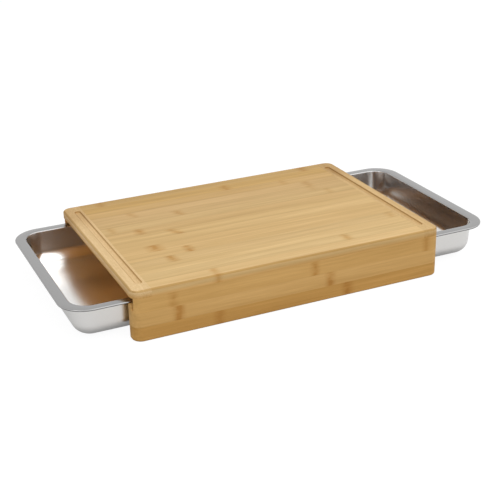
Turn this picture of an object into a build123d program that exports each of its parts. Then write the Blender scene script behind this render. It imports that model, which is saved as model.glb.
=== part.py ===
from build123d import *
import os

# Bamboo cutting board on two side walls, with a pressed steel tray sliding out of each end.
# Millimetres, +Z up. X runs along the board, Y from the front wall to the back wall.
# The origin is on the table, under the middle of the whole object as it stands at rest.

# ---- driving dimensions ----
BOARD_LENGTH = 380.0
BOARD_WIDTH = 270.0
BOARD_HEIGHT = 60.0
PLAN_RADIUS = 11.0          # upright corners of the whole board
ARRIS_RADIUS = 2.5          # eased outer edges

TOP_THICKNESS = 9.0
STAVE_COUNT = 15            # staves side by side in the top
END_CAP_WIDTH = 22.0
CAP_EDGE_BREAK = 0.8        # broken lower edge of the cap over the tray

GROOVE_INSET = 15.0         # juice groove's centre line from the end of the board
GROOVE_LENGTH = 234.0
GROOVE_WIDTH = 8.0
GROOVE_DEPTH = 2.0

WALL_THICKNESS = 16.0
WALL_STAVES = 3             # staves stacked in each wall
WALL_INNER_BREAK = 1.0      # eased upright edges beside the tray
LEDGE_WIDTH = 8.5           # what the tray's rim slides on
KERF_WIDTH = 3.0            # relief groove beside the ledge
KERF_FLOOR = 36.5           # height of its round bottom above the table

STOP_THICKNESS = 11.0       # batten in the middle, between the two trays
STOP_HEIGHT = 21.0

TRAY_LENGTH = 186.0         # over the rim, along X
TRAY_WIDTH = 246.0          # over the rim, along Y
SHEET = 0.8                 # steel thickness
RIM_TOP = 45.0              # height of the rim's upper face above the table
TRAY_FLOOR = 4.0            # height of the tray's underside
LIP_HEIGHT = 1.8            # turned-down edge of the rim, over all
RIM_RADIUS = 32.0           # plan corner of the rim
RIM_SIDE = 10.0             # rim width along the sliding edges
RIM_END = 12.0              # rim width along the handle end and the inner end
PAN_RADIUS = 23.0           # plan corner of the pan under the rim
PAN_DRAFT = 3.0             # degrees that the walls lean in
PAN_BEND = 18.0             # outside radius where the walls turn into the floor
RIM_BEND = 1.5              # inside radius where the rim turns down into the walls
EDGE_BEND = 1.0             # rounding on the outer edge of the rim
RIM_CLEARANCE = 0.3         # between the lip and the ledge

LEFT_OUT = 69.0             # how far each tray stands out of the board at rest
RIGHT_OUT = 82.0

HEIGHT_MATCH = 0.01         # how closely an edge's height is matched when edges are picked

# ---- worked out ----
BOARD_X = (LEFT_OUT - RIGHT_OUT) / 2
HALF_LENGTH = BOARD_LENGTH / 2
HALF_WIDTH = BOARD_WIDTH / 2
TOP_UNDERSIDE = BOARD_HEIGHT - TOP_THICKNESS
STAVE_WIDTH = BOARD_WIDTH / STAVE_COUNT
STAVE_LENGTH = BOARD_LENGTH - 2 * END_CAP_WIDTH
WALL_STAVE_HEIGHT = TOP_UNDERSIDE / WALL_STAVES
LEDGE_TOP = RIM_TOP - LIP_HEIGHT - RIM_CLEARANCE
CHANNEL_WIDTH = BOARD_WIDTH - 2 * WALL_THICKNESS
PAN_LENGTH = TRAY_LENGTH - 2 * RIM_END
PAN_WIDTH = TRAY_WIDTH - 2 * RIM_SIDE
LEFT_TRAY_X = BOARD_X - HALF_LENGTH - LEFT_OUT + TRAY_LENGTH / 2
RIGHT_TRAY_X = BOARD_X + HALF_LENGTH + RIGHT_OUT - TRAY_LENGTH / 2


def slab(x_size, y_size, z_low, z_high):
    """A box centred on the board in plan, between two heights."""
    middle = (z_low + z_high) / 2
    return Pos(BOARD_X, 0, middle) * Box(x_size, y_size, z_high - z_low)


def board_blank():
    """The whole board's outer form: round upright corners and eased edges."""
    blank = slab(BOARD_LENGTH, BOARD_WIDTH, 0, BOARD_HEIGHT)
    blank = fillet(blank.edges().filter_by(Axis.Z), PLAN_RADIUS)
    top_loop = blank.faces().sort_by(Axis.Z)[-1].edges()
    bottom_loop = blank.faces().sort_by(Axis.Z)[0].edges()
    return fillet(list(top_loop) + list(bottom_loop), ARRIS_RADIUS)


def juice_groove(side):
    """A round-nosed cutter's path along one end: a cylinder with a ball at each end."""
    cutter = ((GROOVE_WIDTH / 2) ** 2 + GROOVE_DEPTH ** 2) / (2 * GROOVE_DEPTH)
    x = BOARD_X + side * (HALF_LENGTH - GROOVE_INSET)
    z = BOARD_HEIGHT + cutter - GROOVE_DEPTH
    run = GROOVE_LENGTH - GROOVE_WIDTH
    groove = Pos(x, 0, z) * Rot(90, 0, 0) * Cylinder(cutter, run)
    groove += Pos(x, -run / 2, z) * Sphere(cutter)
    groove += Pos(x, run / 2, z) * Sphere(cutter)
    return groove


def end_cap(blank, side):
    """The cross strip that closes one end of the top, with its juice groove."""
    x = BOARD_X + side * (HALF_LENGTH - END_CAP_WIDTH / 2)
    z = BOARD_HEIGHT - TOP_THICKNESS / 2
    cap = blank & Pos(x, 0, z) * Box(END_CAP_WIDTH, BOARD_WIDTH, TOP_THICKNESS)
    cap -= juice_groove(side)
    edge_x = BOARD_X + side * HALF_LENGTH
    edge_break = CAP_EDGE_BREAK * 2 ** 0.5
    cap -= Pos(edge_x, 0, TOP_UNDERSIDE) * Rot(0, 45, 0) * Box(edge_break, CHANNEL_WIDTH, edge_break)
    return cap


def top_stave(blank, index):
    """One long stave of the top, counted from the front."""
    y = -HALF_WIDTH + (index + 0.5) * STAVE_WIDTH
    z = BOARD_HEIGHT - TOP_THICKNESS / 2
    return blank & Pos(BOARD_X, y, z) * Box(STAVE_LENGTH, STAVE_WIDTH, TOP_THICKNESS)


def wall(blank, side):
    """One side wall in one piece; side is -1 for the front and 1 for the back."""
    inner = HALF_WIDTH - WALL_THICKNESS
    middle = HALF_WIDTH - WALL_THICKNESS / 2
    body = Pos(BOARD_X, middle, TOP_UNDERSIDE / 2) * Box(BOARD_LENGTH, WALL_THICKNESS, TOP_UNDERSIDE)
    inner_edges = body.edges().filter_by(Axis.Z).group_by(Axis.Y)[0]
    body = fillet(inner_edges, WALL_INNER_BREAK)
    body &= blank
    # the recess for the rim, open to the inside, above the ledge
    recess_width = LEDGE_WIDTH + KERF_WIDTH
    recess = Pos(BOARD_X, inner + recess_width / 2, (LEDGE_TOP + TOP_UNDERSIDE) / 2) * Box(
        BOARD_LENGTH, recess_width, TOP_UNDERSIDE - LEDGE_TOP)
    # the round-bottomed relief groove between the ledge and the outer web
    kerf_y = inner + LEDGE_WIDTH + KERF_WIDTH / 2
    kerf_low = KERF_FLOOR + KERF_WIDTH / 2
    kerf = Pos(BOARD_X, kerf_y, (kerf_low + TOP_UNDERSIDE) / 2) * Box(
        BOARD_LENGTH, KERF_WIDTH, TOP_UNDERSIDE - kerf_low)
    kerf += Pos(BOARD_X, kerf_y, kerf_low) * Rot(0, 90, 0) * Cylinder(KERF_WIDTH / 2, BOARD_LENGTH)
    body -= recess
    body -= kerf
    if side < 0:
        body = mirror(body, about=Plane.XZ)
    return body


def wall_stave(whole_wall, index):
    """One of the staves stacked in a wall, counted from the table."""
    low = index * WALL_STAVE_HEIGHT
    return whole_wall & slab(BOARD_LENGTH, BOARD_WIDTH, low, low + WALL_STAVE_HEIGHT)


def centre_stop():
    """The batten under the middle of the top that each tray comes to rest against."""
    return slab(STOP_THICKNESS, CHANNEL_WIDTH, TOP_UNDERSIDE - STOP_HEIGHT, TOP_UNDERSIDE)


def pan_form(inset, floor):
    """The solid that fills the pan, drawn in from its outer face by inset, up to the rim's top."""
    outline = RectangleRounded(PAN_LENGTH - 2 * inset, PAN_WIDTH - 2 * inset, PAN_RADIUS - inset)
    form = extrude(Pos(0, 0, RIM_TOP) * outline, amount=floor - RIM_TOP, taper=PAN_DRAFT)
    floor_loop = form.faces().sort_by(Axis.Z)[0].edges()
    return fillet(floor_loop, PAN_BEND - inset)


def tray():
    """A tray pressed from one sheet, centred on the Z axis."""
    rim_outline = RectangleRounded(TRAY_LENGTH, TRAY_WIDTH, RIM_RADIUS)
    rim = extrude(Pos(0, 0, RIM_TOP - SHEET) * rim_outline, amount=SHEET)
    shell = rim + pan_form(0, TRAY_FLOOR)
    root = [edge for edge in edges_at(shell, RIM_TOP - SHEET) if is_pan_edge(edge)]
    shell = fillet(root, RIM_BEND - SHEET)
    shell -= pan_form(SHEET, TRAY_FLOOR + SHEET)
    mouth = [edge for edge in edges_at(shell, RIM_TOP) if is_pan_edge(edge)]
    shell = fillet(mouth, RIM_BEND)
    # the rim's edge is turned down all round
    lip_inner = RectangleRounded(
        TRAY_LENGTH - 2 * SHEET, TRAY_WIDTH - 2 * SHEET, RIM_RADIUS - SHEET)
    lip = extrude(Pos(0, 0, RIM_TOP - LIP_HEIGHT) * (rim_outline - lip_inner), amount=LIP_HEIGHT)
    shell += lip
    outline = [edge for edge in edges_at(shell, RIM_TOP) if not is_pan_edge(edge)]
    return fillet(outline, EDGE_BEND)


def edges_at(shape, height):
    """The edges that lie level at one height."""
    return [edge for edge in shape.edges() if abs(edge.center().Z - height) < HEIGHT_MATCH]


def is_pan_edge(edge):
    """True for an edge of the pan's mouth, false for one of the rim's outline."""
    halfway = RectangleRounded(TRAY_LENGTH - RIM_END, TRAY_WIDTH - RIM_SIDE, RIM_RADIUS).face()
    middle = edge.center()
    return halfway.is_inside(Vector(middle.X, middle.Y, 0))


def build_nodes():
    """Every separate piece by name."""
    blank = board_blank()
    nodes = {}
    for index in range(STAVE_COUNT):
        nodes[f"top_stave_{index + 1:02d}"] = top_stave(blank, index)
    nodes["left_end_cap"] = end_cap(blank, -1)
    nodes["right_end_cap"] = end_cap(blank, 1)
    for name, side in (("front", -1), ("back", 1)):
        whole_wall = wall(blank, side)
        for index in range(WALL_STAVES):
            nodes[f"{name}_wall_stave_{index + 1}"] = wall_stave(whole_wall, index)
    nodes["centre_stop"] = centre_stop()
    pressing = tray()
    nodes["left_tray"] = Pos(LEFT_TRAY_X, 0, 0) * pressing
    nodes["right_tray"] = Pos(RIGHT_TRAY_X, 0, 0) * pressing
    return nodes


os.makedirs("parts", exist_ok=True)
for node_name, solid in build_nodes().items():
    export_step(solid, f"parts/{node_name}.step")
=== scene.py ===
from math import cos, pi, radians, sin

import bmesh
import bpy
from mathutils import Matrix, Vector


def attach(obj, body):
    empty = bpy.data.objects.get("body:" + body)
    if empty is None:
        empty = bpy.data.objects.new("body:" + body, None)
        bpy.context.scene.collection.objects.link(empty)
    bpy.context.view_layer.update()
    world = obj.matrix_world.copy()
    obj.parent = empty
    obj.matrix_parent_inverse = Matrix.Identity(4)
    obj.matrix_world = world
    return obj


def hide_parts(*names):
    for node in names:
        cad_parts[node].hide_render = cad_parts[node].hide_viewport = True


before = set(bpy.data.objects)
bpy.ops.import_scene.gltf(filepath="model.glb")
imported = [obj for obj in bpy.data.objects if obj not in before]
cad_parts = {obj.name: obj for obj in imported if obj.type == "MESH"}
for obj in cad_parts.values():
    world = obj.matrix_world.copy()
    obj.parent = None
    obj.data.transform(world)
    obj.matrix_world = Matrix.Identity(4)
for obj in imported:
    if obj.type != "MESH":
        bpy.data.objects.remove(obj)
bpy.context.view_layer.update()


# ---- The top's staves -------------------------------------------------------------------
# Fifteen flat-pressed bamboo strips, glued side by side with their fibres along the board.
# Each strip has its own tone, soft darker knuckles and a slightly darker glue line.

ALONG, ACROSS, UP = 0, 1, 2     # the three axes by number
STAVE_WIDTH = 0.018
STAVE_COUNT = 15
BOARD_MIDDLE = -0.0065          # the board's middle along X
BOARD_HALF_LENGTH = 0.190
FRONT_FACE = -0.135             # the board's front face along Y
ARRIS = 0.0025                  # the eased edge all round the board
GLUE_LINE = 0.0016              # a strip darkens this far in from a joint


def shader_node(tree, kind, inputs=None, **settings):
    """A node whose inputs are given by name or number, each as a value or as a socket to join."""
    made = tree.nodes.new(kind)
    for name, value in settings.items():
        setattr(made, name, value)
    for name, value in (inputs or {}).items():
        if isinstance(value, bpy.types.NodeSocket):
            tree.links.new(value, made.inputs[name])
        else:
            made.inputs[name].default_value = value
    return made


def calculated(tree, operation, first, second=0.0, third=0.0, clamp=False):
    """One Math node's result."""
    inputs = {0: first, 1: second, 2: third}
    return shader_node(
        tree, "ShaderNodeMath", inputs, operation=operation, use_clamp=clamp).outputs[0]


def ramp_between(tree, value, low, high, start=0.0, end=1.0):
    """A soft step from start to end while value goes from low to high."""
    inputs = {"Value": value, "From Min": low, "From Max": high, "To Min": start, "To Max": end}
    made = shader_node(tree, "ShaderNodeMapRange", inputs, interpolation_type="SMOOTHSTEP")
    return made.outputs["Result"]


def swing(tree, pattern, depth):
    """A pattern from 0 to 1, made a factor that swings by depth round 1."""
    return calculated(tree, "MULTIPLY_ADD", pattern, depth, 1.0 - depth / 2)


def blend_colour(tree, factor, first, second, mode="MIX"):
    """One colour Mix node's result."""
    inputs = {0: factor, 6: first, 7: second}
    return shader_node(
        tree, "ShaderNodeMix", inputs, data_type="RGBA", blend_type=mode).outputs[2]


def stained(tree, mask, colour, stain):
    """The colour, multiplied by the stain where the mask is 1."""
    return blend_colour(tree, mask, colour, blend_colour(tree, 1.0, colour, stain, "MULTIPLY"))


def axes_of(tree, vector):
    """A vector's three parts."""
    return shader_node(tree, "ShaderNodeSeparateXYZ", {0: vector}).outputs


def moved(tree, place, x, y, z):
    """A place moved along each axis."""
    step = shader_node(tree, "ShaderNodeCombineXYZ", {0: x, 1: y, 2: z}).outputs[0]
    return shader_node(
        tree, "ShaderNodeVectorMath", {0: place, 1: step}, operation="ADD").outputs[0]


def turned(tree, place, angle):
    """A place turned about Z."""
    inputs = {"Vector": place, "Rotation": (0.0, 0.0, angle)}
    return shader_node(tree, "ShaderNodeMapping", inputs).outputs[0]


def facing_up(tree):
    """1 on a face that looks up, 0 on an upright one and -1 on one that looks down."""
    return axes_of(tree, shader_node(tree, "ShaderNodeNewGeometry").outputs["Normal"])[UP]


def stretched_noise(tree, place, cells, detail=2.0, roughness=0.5):
    """Noise drawn out along X: cells in a metre, lengthwise and across."""
    lengthwise, across = cells
    drawn_out = shader_node(
        tree, "ShaderNodeMapping", {"Vector": place, "Scale": (lengthwise, across, across)})
    inputs = {
        "Vector": drawn_out.outputs[0], "Scale": 1.0, "Detail": detail, "Roughness": roughness}
    return shader_node(tree, "ShaderNodeTexNoise", inputs).outputs["Fac"]


def effect_group(name, inputs, outputs):
    """An empty shader node group with named sockets, and its two ends."""
    tree = bpy.data.node_groups.new(name, "ShaderNodeTree")
    for label, value in inputs.items():
        kind = "NodeSocketVector" if value is None else "NodeSocketFloat"
        socket = tree.interface.new_socket(label, in_out="INPUT", socket_type=kind)
        if value is not None:
            socket.default_value = value
    for label in outputs:
        tree.interface.new_socket(label, in_out="OUTPUT", socket_type="NodeSocketFloat")
    given = tree.nodes.new("NodeGroupInput").outputs
    result = tree.nodes.new("NodeGroupOutput").inputs
    return tree, given, result


def grouped(tree, effect, inputs):
    """A shared effect set into a material; gives back its outputs."""
    return shader_node(tree, "ShaderNodeGroup", inputs, node_tree=effect).outputs


# cells in a metre, lengthwise and across
SWAY_CELLS = (14.0, 40.0)
BAND_CELLS = (4.0, 110.0)
STREAK_CELLS = (9.0, 380.0)
FIBRE_CELLS = (34.0, 1500.0)
SWAY = 0.0022                   # how far the fibres stray from a straight line


def make_fibre_effect():
    """Long bamboo fibres along X: broad bands, streaks and fine fibres, each from 0 to 1."""
    tree, given, result = effect_group(
        "bamboo fibre", {"Place": None, "Batch": 0.0}, ("Bands", "Streaks", "Fibres"))
    place = moved(tree, given["Place"], given["Batch"], given["Batch"], given["Batch"])
    sway = stretched_noise(tree, place, SWAY_CELLS, detail=1.0)
    sway = calculated(tree, "MULTIPLY_ADD", sway, SWAY, -SWAY / 2)
    place = moved(tree, place, 0.0, sway, sway)
    fibres = stretched_noise(tree, place, FIBRE_CELLS, detail=3.0, roughness=0.6)
    tree.links.new(stretched_noise(tree, place, BAND_CELLS), result["Bands"])
    tree.links.new(stretched_noise(tree, place, STREAK_CELLS), result["Streaks"])
    tree.links.new(fibres, result["Fibres"])
    return tree


KNUCKLE_EDGE_CELLS = (90.0, 150.0)
KNUCKLE_PATCH_CELLS = (90.0, 170.0)
PATCH_FADE = (0.30, 0.62)       # the noise between which a knuckle goes from faint to full
FAINT = 0.55                    # a knuckle's strength where it is faint
BLOTCH_REACH = (0.05, 0.8)      # parts of a knuckle's length in which it fades out
CORE_REACH = (0.0, 0.34)


def make_knuckle_effect():
    """A bamboo knuckle: a soft blotch across the strip at X = At, with a darker core."""
    given_values = {
        "Place": None, "At": 0.0, "Length": 0.01, "Lean": 0.0, "Wander": 0.003, "Batch": 0.0}
    tree, given, result = effect_group("bamboo knuckle", given_values, ("Blotch", "Core"))
    place = moved(tree, given["Place"], given["Batch"], given["Batch"], given["At"])
    split = axes_of(tree, given["Place"])
    off = calculated(tree, "SUBTRACT", split[ALONG], given["At"])
    off = calculated(tree, "MULTIPLY_ADD", given["Lean"], split[ACROSS], off)
    wander = stretched_noise(tree, place, KNUCKLE_EDGE_CELLS)
    wander = calculated(tree, "SUBTRACT", wander, 0.5)
    wander = calculated(tree, "MULTIPLY", wander, given["Wander"])
    off = calculated(tree, "ADD", off, wander)
    far = calculated(tree, "DIVIDE", calculated(tree, "ABSOLUTE", off), given["Length"])
    patchy = stretched_noise(tree, place, KNUCKLE_PATCH_CELLS, detail=1.0)
    patchy = ramp_between(tree, patchy, *PATCH_FADE, FAINT, 1.0)
    for label, reach in (("Blotch", BLOTCH_REACH), ("Core", CORE_REACH)):
        fade = ramp_between(tree, far, *reach, 1.0, 0.0)
        tree.links.new(calculated(tree, "MULTIPLY", fade, patchy), result[label])
    return tree


ARRIS_FADE = 0.0008             # the arris' tone comes in over this much
ARRIS_FOOT = (0.0577, 0.0587)   # heights above the table between which the arris begins
SIDE_FOOT = 0.0505              # the side of the top is darkest here
SIDE_TOP = 0.0565               # and has the wood's own tone from here up
FAR_FADE = (0.050, 0.105)       # places along Y between which the far end's tone comes in
LOOKS_DOWN = (-0.97, -0.90)     # how far a face looks up, for the underside and its painted light
LOOKS_STEEP = (0.72, 0.92)      # and for the steep sides of the juice groove, which get a painted shade


def make_edges_effect():
    """The parts of the top, each from 0 to 1: the eased upper edge, the side from its top down,
    the underside, which gets a painted light, the far end, and the steep sides of the juice
    grooves, which get a painted shade."""
    tree, given, result = effect_group(
        "edges of the top", {"Place": None, "Side Top": SIDE_TOP},
        ("Edge", "Side", "Underside Light", "Far", "Groove Shade"))
    split = axes_of(tree, given["Place"])
    off_x = calculated(tree, "SUBTRACT", split[ALONG], BOARD_MIDDLE)
    off_x = calculated(tree, "ABSOLUTE", off_x)
    off_x = calculated(tree, "SUBTRACT", off_x, BOARD_HALF_LENGTH - ARRIS)
    off_y = calculated(tree, "ABSOLUTE", split[ACROSS])
    off_y = calculated(tree, "SUBTRACT", off_y, -FRONT_FACE - ARRIS)
    outward = ramp_between(tree, calculated(tree, "MAXIMUM", off_x, off_y), 0.0, ARRIS_FADE)
    upper = ramp_between(tree, split[UP], *ARRIS_FOOT)
    facing = facing_up(tree)
    steep = ramp_between(tree, facing, *LOOKS_STEEP, 1.0, 0.0)
    steep = calculated(tree, "MULTIPLY", steep, upper)
    inland = calculated(tree, "SUBTRACT", 1.0, outward)
    side = ramp_between(tree, split[UP], SIDE_FOOT, given["Side Top"], 1.0, 0.0)
    tree.links.new(calculated(tree, "MULTIPLY", outward, upper), result["Edge"])
    tree.links.new(side, result["Side"])
    tree.links.new(ramp_between(tree, facing, *LOOKS_DOWN, 1.0, 0.0), result["Underside Light"])
    tree.links.new(ramp_between(tree, split[ACROSS], *FAR_FADE), result["Far"])
    tree.links.new(calculated(tree, "MULTIPLY", steep, inland), result["Groove Shade"])
    return tree


fibre_effect = make_fibre_effect()
knuckle_effect = make_knuckle_effect()
edges_effect = make_edges_effect()


def srgb(red, green, blue):
    """A colour read off a screen from 0 to 255, as the linear colour that Blender takes."""
    def linear(v):
        v = v / 255
        return v / 12.92 if v <= 0.04045 else ((v + 0.055) / 1.055) ** 2.4
    return linear(red), linear(green), linear(blue), 1.0


def blank_material(name):
    """A material with an empty node tree, and that tree."""
    material = bpy.data.materials.new(name)
    material.use_nodes = True
    material.node_tree.nodes.clear()
    return material, material.node_tree


ARRIS_TONE = (0.73, 0.65, 0.50, 1.0)
UNDERSIDE_PAINTED_LIGHT = (0.86, 0.42, 0.11, 1.0)        # painted light: the underside made brighter and warmer, as the trays mirror it
GROOVE_SHADE_TONE = (0.60, 0.48, 0.31, 1.0)           # painted shade on the steep sides of the juice grooves
KNUCKLE_TONE = (0.79, 0.63, 0.40, 1.0)
CORE_STRENGTH = 0.35            # a knuckle's core is this much darker than the rest of it
BAND_DEPTH = 0.50               # how far each pattern swings the wood's tone
STREAK_DEPTH = 0.34
FIBRE_DEPTH = 0.26
FLECK_CELLS = (320.0, 640.0)
FLECK_FADE = (0.3, 0.7)
WARMTH = (0.8, 1.0, 1.45)       # in a darker streak blue falls off faster than red
SATIN = 0.45                    # oiled and wiped; the streaks differ a little in gloss
STREAK_GLOSS = 0.14
SHEEN = 0.15
FIBRE_RELIEF = {"Strength": 0.22, "Distance": 0.0003}


def bamboo(name, tone, batch, knuckles=(), knuckle_tone=KNUCKLE_TONE, wander=0.005,
           strip=None, joint_shade=0.94, turn=0.0, contrast=1.0, speckle=0.0,
           side_tone=None, side_top=SIDE_TOP, far_tone=None):
    """Oiled bamboo. strip is the axis across a strip, its middle and its width, for the glue
    lines along its two edges; turn is the angle of its fibres to the board's length."""
    material, tree = blank_material(name)
    place = shader_node(tree, "ShaderNodeTexCoord").outputs["Object"]
    grain = turned(tree, place, turn)
    fibre = grouped(tree, fibre_effect, {"Place": grain, "Batch": batch})

    shade = calculated(
        tree, "MULTIPLY", swing(tree, fibre["Bands"], BAND_DEPTH * contrast),
        swing(tree, fibre["Streaks"], STREAK_DEPTH * contrast))
    shade = calculated(
        tree, "MULTIPLY", shade, swing(tree, fibre["Fibres"], FIBRE_DEPTH * contrast))
    if speckle:
        flecks = stretched_noise(tree, grain, FLECK_CELLS)
        flecks = ramp_between(tree, flecks, *FLECK_FADE, 1.0 - speckle, 1.0 + speckle)
        shade = calculated(tree, "MULTIPLY", shade, flecks)
    if strip is not None:
        axis, middle, width = strip
        off = calculated(tree, "SUBTRACT", axes_of(tree, place)[axis], middle)
        off = calculated(tree, "ABSOLUTE", off)
        glue = ramp_between(tree, off, width / 2 - GLUE_LINE, width / 2, 1.0, joint_shade)
        shade = calculated(tree, "MULTIPLY", shade, glue)
    warm = {channel: calculated(tree, "POWER", shade, power)
            for channel, power in enumerate(WARMTH)}
    warm = shader_node(tree, "ShaderNodeCombineColor", warm).outputs[0]
    colour = blend_colour(tree, 1.0, tone, warm, "MULTIPLY")

    for at, length, lean, strength in knuckles:
        knuckle = grouped(tree, knuckle_effect, {
            "Place": grain, "At": at, "Length": length, "Lean": lean, "Wander": wander,
            "Batch": batch})
        mark = calculated(
            tree, "MULTIPLY_ADD", knuckle["Core"], CORE_STRENGTH, knuckle["Blotch"])
        mark = calculated(tree, "MULTIPLY", mark, strength, clamp=True)
        colour = stained(tree, mark, colour, knuckle_tone)
    if side_tone is not None:
        part = grouped(tree, edges_effect, {"Place": place, "Side Top": side_top})
        colour = stained(tree, part["Side"], colour, side_tone)
        colour = stained(tree, part["Edge"], colour, ARRIS_TONE)
        # painted shade on the steep sides of the juice grooves
        colour = stained(tree, part["Groove Shade"], colour, GROOVE_SHADE_TONE)
        if far_tone is not None:
            colour = stained(tree, part["Far"], colour, far_tone)
        # painted light: a brighter, warmer underside, seen in the trays
        colour = blend_colour(tree, part["Underside Light"], colour, UNDERSIDE_PAINTED_LIGHT)

    rough = calculated(tree, "MULTIPLY_ADD", fibre["Streaks"], STREAK_GLOSS, SATIN)
    bump = shader_node(
        tree, "ShaderNodeBump", {**FIBRE_RELIEF, "Height": fibre["Fibres"]}).outputs[0]
    surface = shader_node(tree, "ShaderNodeBsdfPrincipled", {
        "Base Color": colour, "Roughness": rough, "Normal": bump, "Specular IOR Level": SHEEN})
    shader_node(tree, "ShaderNodeOutputMaterial", {0: surface.outputs[0]})
    return material


def dress(node_name, material):
    """Gives a CAD node its finish."""
    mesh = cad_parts[node_name].data
    mesh.materials.clear()
    mesh.materials.append(material)


def knuckles_at(marks, spread=1.0):
    """Knuckles measured from the board's middle, put where they lie, spread out lengthwise."""
    return [(BOARD_MIDDLE + at, spread * length, lean, strength)
            for at, length, lean, strength in marks]


stave_tones = (
    (226, 190, 132), (221, 187, 130), (221, 186, 128), (219, 184, 127), (217, 180, 121),
    (217, 180, 121), (220, 184, 125), (219, 183, 124), (213, 176, 118), (213, 178, 121),
    (211, 175, 119), (212, 175, 119), (208, 169, 109), (206, 166, 100), (201, 163, 102),
)
# for each strip from the front: its knuckles' places, lengths, leans and strengths
stave_knuckles = {
    1: ((-0.0925, 0.008, 0.0, 0.5),),
    2: ((0.069, 0.009, 0.1, 0.6),),
    4: ((-0.128, 0.010, 0.1, 0.75), (0.160, 0.010, 0.0, 0.35)),
    5: ((-0.094, 0.009, 0.0, 0.8),),
    6: ((-0.132, 0.014, 0.1, 0.8),),
    8: ((-0.090, 0.010, 0.5, 0.65),),
    9: ((-0.128, 0.010, 0.0, 0.7),),
    10: ((-0.157, 0.008, 0.0, 0.4), (0.135, 0.008, 0.0, 0.3), (0.174, 0.009, 0.0, 0.4)),
    11: ((-0.054, 0.010, 0.2, 0.5), (0.120, 0.010, 0.0, 0.25)),
    12: ((-0.096, 0.009, 0.3, 0.45), (0.122, 0.010, 0.0, 0.4)),
    13: ((0.096, 0.009, 0.0, 0.3),),
    14: ((0.032, 0.012, 0.1, 0.5),),
    15: ((0.1425, 0.012, 0.0, 0.6), (-0.1427, 0.010, 0.0, 0.4)),
}
STAVE_KNUCKLE_SPREAD = 1.25     # on the flat top the knuckles have softer, longer ends
STAVE_BATCH_STEP = 0.37         # each strip is cut from another place along the cane
STAVE_SIDE_TONE = (0.93, 0.79, 0.59, 1.0)

for number in range(1, STAVE_COUNT + 1):
    stave = f"top_stave_{number:02d}"
    middle = FRONT_FACE + (number - 0.5) * STAVE_WIDTH
    dress(stave, bamboo(
        f"{stave}_bamboo", srgb(*stave_tones[number - 1]), STAVE_BATCH_STEP * number,
        knuckles_at(stave_knuckles.get(number, ()), STAVE_KNUCKLE_SPREAD),
        strip=(ACROSS, middle, STAVE_WIDTH), side_tone=STAVE_SIDE_TONE))


# ---- The end caps -----------------------------------------------------------------------
# A bamboo strip across each end of the top, glued over the ends of the staves to keep them
# flat. Its fibres run across the board, cut short, so it looks finely speckled.

# partly the caps' own tone, partly painted shade on their end faces
CAP_SIDE_TONE_AND_SHADE = (0.80, 0.64, 0.40, 1.0)
CAP_FAR_TONE = (0.80, 0.74, 0.65, 1.0)
CAP_SIDE_TOP = 0.0585           # the side's tone and painted shade reach up to this height

for side, tone, batch in (("left", (231, 197, 144), 7.1), ("right", (216, 180, 124), 8.3)):
    dress(f"{side}_end_cap", bamboo(
        f"{side}_end_cap_bamboo", srgb(*tone), batch, turn=pi / 2, contrast=0.7, speckle=0.07,
        side_tone=CAP_SIDE_TONE_AND_SHADE, side_top=CAP_SIDE_TOP, far_tone=CAP_FAR_TONE))


# ---- The walls --------------------------------------------------------------------------
# Front and back wall, each three bamboo strips stacked on edge and glued, with the ledge for
# the trays' rims milled into the inner face. Their knuckles show more than the top's.

WALL_STAVE_HEIGHT = 0.017
WALL_KNUCKLE_TONE = (0.76, 0.62, 0.44, 1.0)
WALL_BATCH_STEP = 1.7
wall_batches = {"front": 11.3, "back": 20.3}
wall_tones = {1: (206, 157, 87), 2: (218, 173, 107), 3: (217, 171, 103)}
# for each strip from the table up: its knuckles' places, lengths, leans and strengths
wall_knuckles = {
    ("front", 1): ((-0.0922, 0.013, 0.0, 0.60), (0.0662, 0.014, 0.0, 0.75)),
    ("front", 2): ((-0.1389, 0.013, 0.0, 0.90), (0.0442, 0.012, 0.0, 0.80)),
    ("front", 3): (
        (-0.1445, 0.011, 0.0, 0.5), (0.0246, 0.011, 0.0, 0.65), (0.1714, 0.011, 0.0, 0.5)),
    ("back", 1): ((-0.061, 0.012, 0.0, 0.6),),
    ("back", 2): ((0.112, 0.012, 0.0, 0.65), (-0.131, 0.011, 0.0, 0.5)),
    ("back", 3): ((0.021, 0.011, 0.0, 0.6),),
}

for (side, level), marks in wall_knuckles.items():
    stave = f"{side}_wall_stave_{level}"
    middle = (level - 0.5) * WALL_STAVE_HEIGHT
    dress(stave, bamboo(
        f"{stave}_bamboo", srgb(*wall_tones[level]),
        wall_batches[side] + WALL_BATCH_STEP * level,
        knuckles_at(marks), knuckle_tone=WALL_KNUCKLE_TONE, wander=0.002,
        strip=(UP, middle, WALL_STAVE_HEIGHT), joint_shade=0.97))


# ---- The centre stop --------------------------------------------------------------------
# A plain bamboo batten across the middle of the board, glued to the underside of the top.
# Both trays come to rest against it, so that neither pushes the other out.

STOP_TONE = (196, 156, 102)
STOP_BATCH = 31.0

dress("centre_stop", bamboo("centre_stop_bamboo", srgb(*STOP_TONE), STOP_BATCH, turn=pi / 2))


# ---- The trays --------------------------------------------------------------------------
# Two trays, each deep-drawn from one 0.8 mm sheet of stainless steel and satin finished. The
# flat rim hangs on the ledges of the walls, and its edge is turned down all round.

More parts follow.
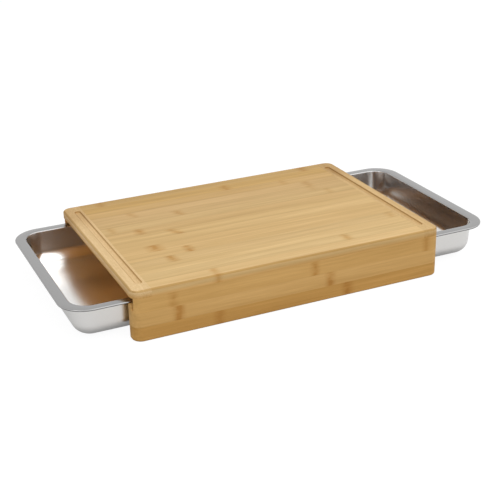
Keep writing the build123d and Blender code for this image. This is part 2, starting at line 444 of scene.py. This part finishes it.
TRAY_LENGTH = 0.186             # over the rim, along X
TRAY_WIDTH = 0.246
TRAY_MIDDLE = 0.1725            # how far each tray's middle is from the object's
RIM_TOP = 0.045
RIM_CORNER = 0.032
LIP_DROP = 0.0018               # height of the turned-down edge, over all
EDGE_BEND = 0.001
RIM_END = 0.012                 # the rim's width at the two ends, and along the ledges
RIM_SIDE = 0.010
PAN_CORNER = 0.023
MOUTH_BEND = 0.0015
RIM_FALL = 0.00003              # the rim falls this much from its edge to the pan
WALL_LEAN = radians(3)
SHEET = 0.0008
PAN_BOTTOM = 0.0048             # the upper face of the sheet in the pan
FLOOR_BEND = 0.0172
FLOOR_BORDER = 0.003            # a ring of narrow faces round the flat floor
CORNER_STEPS = 14               # facets round a corner of the tray
EDGE_STEPS = 4                  # and across its three bends
MOUTH_STEPS = 5
FLOOR_STEPS = 12
SAME_PLACE = 1e-7               # points nearer than this are one


def rounded_ring(bm, length, width, corner, height):
    """A closed loop of edges: a rectangle with round corners, level, at that height."""
    made = bmesh.ops.create_grid(bm, x_segments=1, y_segments=1, size=0.5)["verts"]
    bmesh.ops.scale(bm, vec=(length, width, 1), verts=made)
    bmesh.ops.translate(bm, vec=(0, 0, height), verts=made)
    bent = bmesh.ops.bevel(
        bm, geom=made, offset=corner, offset_type="OFFSET", affect="VERTICES",
        segments=CORNER_STEPS, profile=0.5, material=-1)
    face = bent["verts"][0].link_faces[0]
    edges = list(face.edges)
    bmesh.ops.delete(bm, geom=[face], context="FACES_ONLY")
    return edges


def rim_ring(inset, height):
    """Length, width, corner and height of a ring drawn in from the rim's outline."""
    return TRAY_LENGTH - 2 * inset, TRAY_WIDTH - 2 * inset, RIM_CORNER - inset, height


def pan_ring(inset, height):
    """The same for a ring drawn in from the pan's outline, inside the rim."""
    length = TRAY_LENGTH - 2 * (RIM_END + inset)
    width = TRAY_WIDTH - 2 * (RIM_SIDE + inset)
    return length, width, PAN_CORNER - inset, height


def tray_profile():
    """The rings of the sheet's upper face, from the lip over the rim and down to the floor."""
    rings = [rim_ring(0.0, RIM_TOP - LIP_DROP), rim_ring(0.0, RIM_TOP - EDGE_BEND)]
    for step in range(1, EDGE_STEPS + 1):
        angle = pi / 2 * step / EDGE_STEPS
        rings.append(rim_ring(
            EDGE_BEND * (1 - cos(angle)), RIM_TOP - EDGE_BEND + EDGE_BEND * sin(angle)))
    # the rim turns down into the leaning wall
    mouth_middle = SHEET - MOUTH_BEND * (1 - sin(WALL_LEAN)) / cos(WALL_LEAN)
    for step in range(MOUTH_STEPS + 1):
        angle = (pi / 2 - WALL_LEAN) * step / MOUTH_STEPS
        rings.append(pan_ring(
            mouth_middle + MOUTH_BEND * sin(angle),
            RIM_TOP - RIM_FALL - MOUTH_BEND * (1 - cos(angle))))
    # the wall turns into the floor
    bend_height = PAN_BOTTOM + FLOOR_BEND
    drawn_in = FLOOR_BEND + (RIM_TOP - bend_height) * sin(WALL_LEAN)
    bend_middle = SHEET + drawn_in / cos(WALL_LEAN)
    for step in range(FLOOR_STEPS + 1):
        angle = WALL_LEAN + (pi / 2 - WALL_LEAN) * step / FLOOR_STEPS
        rings.append(pan_ring(
            bend_middle - FLOOR_BEND * cos(angle), bend_height - FLOOR_BEND * sin(angle)))
    return rings


def pressed_tray(name, middle, body, node, steel):
    """The tray as one bent sheet."""
    bm = bmesh.new()
    rings = [rounded_ring(bm, *ring) for ring in tray_profile()]
    for outer, inner in zip(rings, rings[1:]):
        bmesh.ops.bridge_loops(bm, edges=outer + inner)
    pan_floor = bmesh.ops.edgeloop_fill(bm, edges=rings[-1])["faces"]
    bmesh.ops.inset_region(bm, faces=pan_floor, thickness=FLOOR_BORDER, use_even_offset=True)
    bmesh.ops.remove_doubles(bm, verts=bm.verts, dist=SAME_PLACE)
    bmesh.ops.recalc_face_normals(bm, faces=bm.faces)
    # an open sheet's faces may all come out downwards, and its largest face is the floor
    if max(bm.faces, key=lambda face: face.calc_area()).normal.z < 0:
        bmesh.ops.reverse_faces(bm, faces=bm.faces)
    for face in bm.faces:
        face.smooth = True
    bmesh.ops.translate(bm, vec=(middle, 0, 0), verts=bm.verts)
    mesh = bpy.data.meshes.new(name)
    bm.to_mesh(mesh)
    bm.free()
    mesh.materials.append(steel)
    piece = bpy.data.objects.new(name, mesh)
    bpy.context.scene.collection.objects.link(piece)
    wall = piece.modifiers.new("sheet", "SOLIDIFY")
    wall.thickness = SHEET
    wall.offset = -1
    wall.use_even_offset = True
    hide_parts(node)
    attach(piece, body)


OUTSIDE_STEEL = (0.70, 0.69, 0.675, 1.0)
RIM_SHADE_STEEL = (0.335, 0.332, 0.33, 1.0)           # painted shade: the flat rim and the top of the mouth bend darkened
BEND_SHADE_STEEL = (0.36, 0.355, 0.35, 1.0)      # painted shade: the outside of the bottom bend darkened
LIP_SHADE_STEEL = (0.06, 0.06, 0.06, 1.0)             # painted shade: a dark line under the turned-down lip
INSIDE_WARMTH = (1.0, 0.985, 0.97)
BRUSHING_CELLS = (60.0, 2600.0)
CLOUD_CELLS = (18.0, 26.0)
STEEL_ROUGHNESS = 0.15          # and what the brushing and the clouds add to it
BRUSHING_ROUGHNESS = 0.07
CLOUD_ROUGHNESS = 0.06
BRUSHING_DEPTH = 0.10           # how far the brushing swings the steel's tone
BRUSHED_RELIEF = {"Strength": 0.05, "Distance": 0.0001}
# heights between which a painted shade comes in or goes out
RIM_SHADE_FADE = (RIM_TOP - 0.0014, RIM_TOP - 0.0004)
LIP_SHADE_FADE_IN = (RIM_TOP - 0.0022, RIM_TOP - 0.0019)
LIP_SHADE_FADE_OUT = (RIM_TOP - 0.0011, RIM_TOP - 0.0008)
# and how far a face looks up, for the painted light inside and the painted shades outside
INSIDE_FACING = (-0.04, 0.04)
BEND_SHADE_FACING = (-0.9, -0.05)
UPRIGHT_FACING = (0.02, 0.045)


def make_satin_steel(name, inside_painted_light):
    """Stainless steel, brushed across the tray, with faint cloudy handling marks. The inside is
    made brighter than the outside, as painted light."""
    material, tree = blank_material(name)
    place = shader_node(tree, "ShaderNodeTexCoord").outputs["Object"]
    across = turned(tree, place, pi / 2)
    brushing = stretched_noise(tree, across, BRUSHING_CELLS, detail=3.0, roughness=0.6)
    clouds = stretched_noise(tree, across, CLOUD_CELLS)
    rough = calculated(tree, "MULTIPLY_ADD", brushing, BRUSHING_ROUGHNESS, STEEL_ROUGHNESS)
    rough = calculated(tree, "MULTIPLY_ADD", clouds, CLOUD_ROUGHNESS, rough)

    height = axes_of(tree, place)[UP]
    facing = facing_up(tree)
    # painted light: the inside of the pan brighter than the outside
    inside = (*(inside_painted_light * warmth for warmth in INSIDE_WARMTH), 1.0)
    colour = blend_colour(tree, ramp_between(tree, facing, *INSIDE_FACING), OUTSIDE_STEEL, inside)
    # painted shade on the flat rim and the top of the mouth bend
    colour = blend_colour(tree, ramp_between(tree, height, *RIM_SHADE_FADE), colour, RIM_SHADE_STEEL)
    # painted shade on the outside of the bottom bend
    bend_shade = ramp_between(tree, facing, *BEND_SHADE_FACING, 1.0, 0.0)
    colour = blend_colour(tree, bend_shade, colour, BEND_SHADE_STEEL)
    # painted shade: a dark line on the lip's lower edge and the pan just under it
    lip_shade = calculated(
        tree, "MULTIPLY", ramp_between(tree, height, *LIP_SHADE_FADE_OUT, 1.0, 0.0),
        ramp_between(tree, height, *LIP_SHADE_FADE_IN))
    upright = ramp_between(tree, facing, *UPRIGHT_FACING, 1.0, 0.0)
    lip_shade = calculated(tree, "MULTIPLY", lip_shade, upright)
    colour = blend_colour(tree, lip_shade, colour, LIP_SHADE_STEEL)
    level = swing(tree, brushing, BRUSHING_DEPTH)
    level = shader_node(tree, "ShaderNodeCombineColor", {0: level, 1: level, 2: level}).outputs[0]
    colour = blend_colour(tree, 1.0, colour, level, "MULTIPLY")

    bump = shader_node(tree, "ShaderNodeBump", {**BRUSHED_RELIEF, "Height": brushing}).outputs[0]
    surface = shader_node(tree, "ShaderNodeBsdfPrincipled", {
        "Base Color": colour, "Metallic": 1.0, "Roughness": rough, "Normal": bump})
    shader_node(tree, "ShaderNodeOutputMaterial", {0: surface.outputs[0]})
    return material


# painted light: one tray's inside is made brighter than the other's
for side, middle, inside_painted_light in (("left", -TRAY_MIDDLE, 0.86), ("right", TRAY_MIDDLE, 0.73)):
    pressed_tray(f"{side}_tray_pressing", middle, f"{side}_tray_body", f"{side}_tray",
                 make_satin_steel(f"{side}_tray_steel", inside_painted_light))


# ---- The floor, the light and the camera ------------------------------------------------
# A plain white studio floor, a broad soft lamp overhead and even light all round. The camera
# stands front left and above, as the photograph was taken.

WHITE = (1.0, 1.0, 1.0, 1.0)
EVEN_LIGHT = 0.52               # the strength of the light that comes from all round
FLOOR_HALF = 6.0
LIGHTING_GREY = (0.45, 0.45, 0.45, 1.0)         # the floor as it lights the object
METAL_FLOOR = (0.74, 0.25)      # the floor's grey and glow as metal shows it
CAMERA_FLOOR = (0.14, 0.93)     # and as the camera sees it


def seen_white(tree):
    """1 for a ray that shows the background itself: straight, in metal or through glass."""
    rays = shader_node(tree, "ShaderNodeLightPath").outputs
    seen = calculated(tree, "MAXIMUM", rays["Is Camera Ray"], rays["Is Glossy Ray"])
    return calculated(tree, "MAXIMUM", seen, rays["Is Transmission Ray"])


def even_backdrop(tree, strength):
    """White light of one strength from all round."""
    inputs = {"Color": WHITE, "Strength": strength}
    return shader_node(tree, "ShaderNodeBackground", inputs).outputs[0]


world = bpy.data.worlds.new("studio")
bpy.context.scene.world = world
world.use_nodes = True
tree = world.node_tree
tree.nodes.clear()
shown = shader_node(tree, "ShaderNodeMixShader", {
    0: seen_white(tree), 1: even_backdrop(tree, EVEN_LIGHT), 2: even_backdrop(tree, 1.0)})
shader_node(tree, "ShaderNodeOutputWorld", {0: shown.outputs[0]})


def pale_floor(tree, grey, glow):
    """A pale floor that still takes the object's shadow."""
    lit = shader_node(tree, "ShaderNodeBsdfDiffuse", {"Color": (grey, grey, grey, 1.0)})
    glowing = shader_node(tree, "ShaderNodeEmission", {"Color": WHITE, "Strength": glow})
    added = {0: lit.outputs[0], 1: glowing.outputs[0]}
    return shader_node(tree, "ShaderNodeAddShader", added).outputs[0]


floor_material, tree = blank_material("studio_floor")
lighting = shader_node(tree, "ShaderNodeBsdfDiffuse", {"Color": LIGHTING_GREY})
in_metal = pale_floor(tree, *METAL_FLOOR)
in_view = pale_floor(tree, *CAMERA_FLOOR)
straight = shader_node(tree, "ShaderNodeLightPath").outputs["Is Camera Ray"]
shown = shader_node(tree, "ShaderNodeMixShader", {0: straight, 1: in_metal, 2: in_view})
shown = shader_node(tree, "ShaderNodeMixShader", {
    0: seen_white(tree), 1: lighting.outputs[0], 2: shown.outputs[0]})
shader_node(tree, "ShaderNodeOutputMaterial", {0: shown.outputs[0]})

bm = bmesh.new()
bmesh.ops.create_grid(bm, x_segments=2, y_segments=2, size=FLOOR_HALF)
floor_mesh = bpy.data.meshes.new("floor")
bm.to_mesh(floor_mesh)
bm.free()
floor_mesh.materials.append(floor_material)
floor = bpy.data.objects.new("floor", floor_mesh)
bpy.context.scene.collection.objects.link(floor)


def soft_lamp(name, place, size, power):
    """A broad lamp, in metres and watts, that looks at the foot of the object."""
    lamp = bpy.data.lights.new(name, "AREA")
    lamp.shape = "RECTANGLE"
    lamp.size, lamp.size_y = size
    lamp.energy = power
    stand = bpy.data.objects.new(name, lamp)
    stand.location = place
    stand.rotation_euler = (-Vector(place)).to_track_quat("-Z", "Y").to_euler()
    bpy.context.scene.collection.objects.link(stand)


soft_lamp("overhead_lamp", (0.8, -0.8, 1.65), (3.4, 2.6), 27)
soft_lamp("side_lamp", (-1.3, -0.9, 0.7), (0.9, 0.7), 4)

# the camera as it was fitted to the board's edges in the photograph
PHOTO_WIDTH = 500               # pixels
FOCAL_LENGTH = 1061.12          # pixels
SENSOR = 36                     # mm
CAMERA_DISTANCE = 1.30081
NEAREST, FARTHEST = 0.05, 50    # what the camera sees lies between these
azimuth, elevation, roll = radians(-24.197), radians(23.5976), radians(-1.3865)
aim = Vector((-0.000441, 0, 0.016535))
back = Vector((sin(azimuth) * cos(elevation), -cos(azimuth) * cos(elevation), sin(elevation)))
level_right = Vector((cos(azimuth), sin(azimuth), 0))
level_up = back.cross(level_right)
right = level_right * cos(roll) + level_up * sin(roll)
up = level_up * cos(roll) - level_right * sin(roll)
camera = bpy.data.objects.new("camera", bpy.data.cameras.new("camera"))
camera.data.sensor_width = SENSOR
camera.data.lens = FOCAL_LENGTH / PHOTO_WIDTH * SENSOR
camera.data.clip_start, camera.data.clip_end = NEAREST, FARTHEST
camera.matrix_world = Matrix((right, up, back)).transposed().to_4x4()
camera.location = aim + back * CAMERA_DISTANCE
bpy.context.scene.collection.objects.link(camera)
bpy.context.scene.camera = camera
bpy.context.scene.view_settings.view_transform = "Standard"
